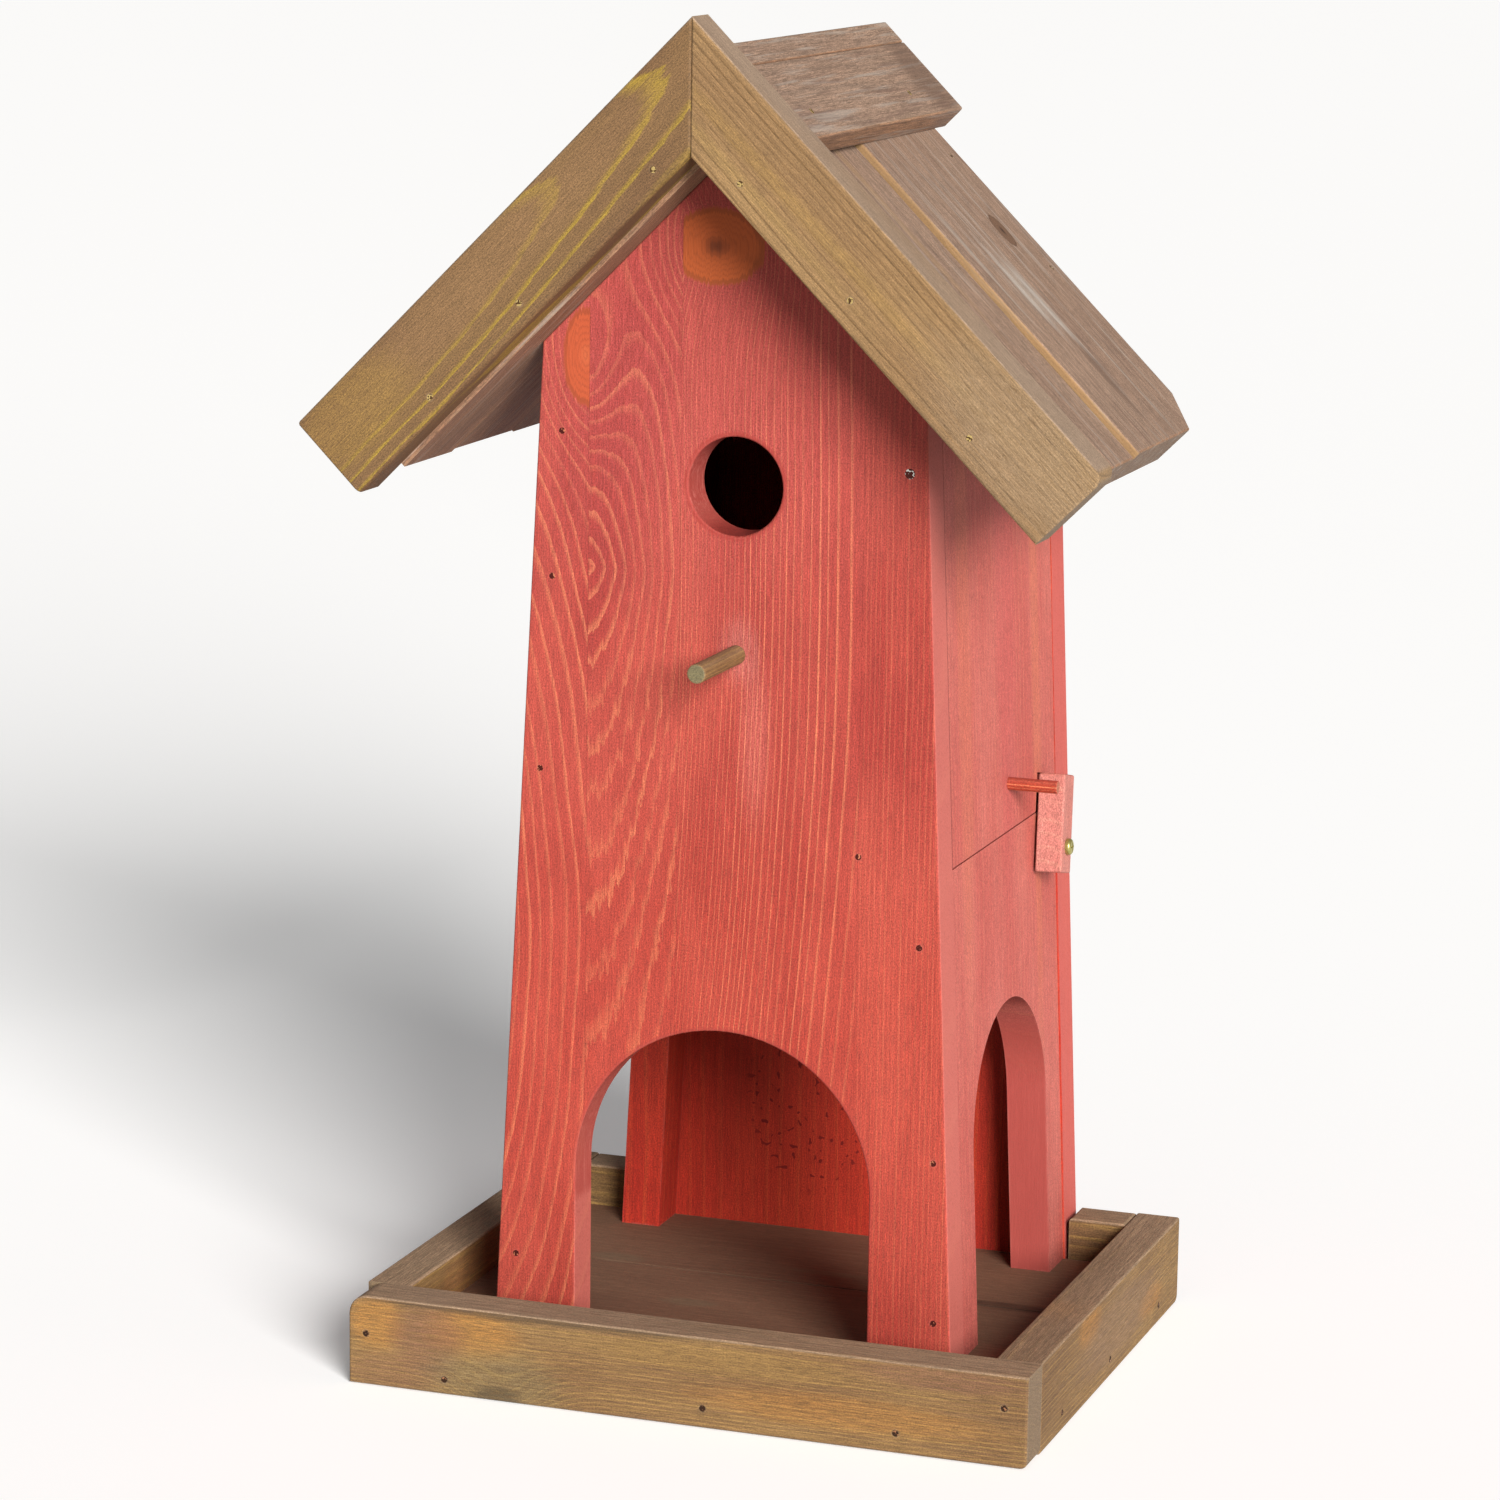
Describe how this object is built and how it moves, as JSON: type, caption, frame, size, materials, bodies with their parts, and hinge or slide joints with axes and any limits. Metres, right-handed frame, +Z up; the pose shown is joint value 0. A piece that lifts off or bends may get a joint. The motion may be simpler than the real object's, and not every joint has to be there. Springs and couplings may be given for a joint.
{
  "type": "bird house feeder",
  "caption": "Wooden bird house on a rimmed feeding tray, with a pitched board roof, round entrance hole, perch, arched feeding doorways and a hinged side door held by a turn button.",
  "frame": {"origin": "centre of the tray's underside, on the surface the house stands on", "axes": "+Z up, -Y towards the entrance hole, +X towards the hinged side door"},
  "size_m": [0.3416, 0.2552, 0.5793],
  "materials": {
    "brown_stained_wood": "matt",
    "red_stained_wood": "matt",
    "latch_wood": "matt",
    "knob_wood": "matt",
    "perch_wood": "matt",
    "steel_nail": "satin",
    "screw_metal": "satin"
  },
  "bodies": {
    "house": {"front_rim": "brown_stained_wood", "left_rim": "brown_stained_wood", "right_rim": "brown_stained_wood", "back_rim_left": "brown_stained_wood", "back_rim_right": "brown_stained_wood", "floor_board_front": "brown_stained_wood", "floor_board_rear": "brown_stained_wood", "barge_left": "brown_stained_wood", "barge_right": "brown_stained_wood", "right_plank_front": "brown_stained_wood", "right_plank_rear": "brown_stained_wood", "left_plank_front": "brown_stained_wood", "left_plank_middle": "brown_stained_wood", "left_plank_rear": "brown_stained_wood", "ridge_cap_left": "brown_stained_wood", "ridge_cap_right": "brown_stained_wood", "front_panel": "red_stained_wood", "back_panel": "red_stained_wood", "left_side_panel": "red_stained_wood", "right_side_panel": "red_stained_wood", "nest_floor": "red_stained_wood", "perch": "perch_wood", "latch_screw": "screw_metal", "tower_nails": "steel_nail", "tray_nails": "steel_nail", "barge_nails": "steel_nail", "plank_nails": "steel_nail", "cap_nails": "steel_nail", "pivot_nails": "steel_nail"},
    "door": {"side_door": "red_stained_wood", "door_knob": "knob_wood"},
    "latch": {"turn_latch": "latch_wood"}
  },
  "joints": [
    {"name": "door_hinge", "type": "hinge", "parent": "house", "child": "door", "pos_m": [0.077, 0.0239, 0.397], "axis": [0, -1, 0], "range_deg": [0, 60]},
    {"name": "latch_turn", "type": "hinge", "parent": "house", "child": "latch", "pos_m": [0.09347, 0.074, 0.215], "axis": [0.9989, 0, 0.0467], "continuous": true}
  ]
}
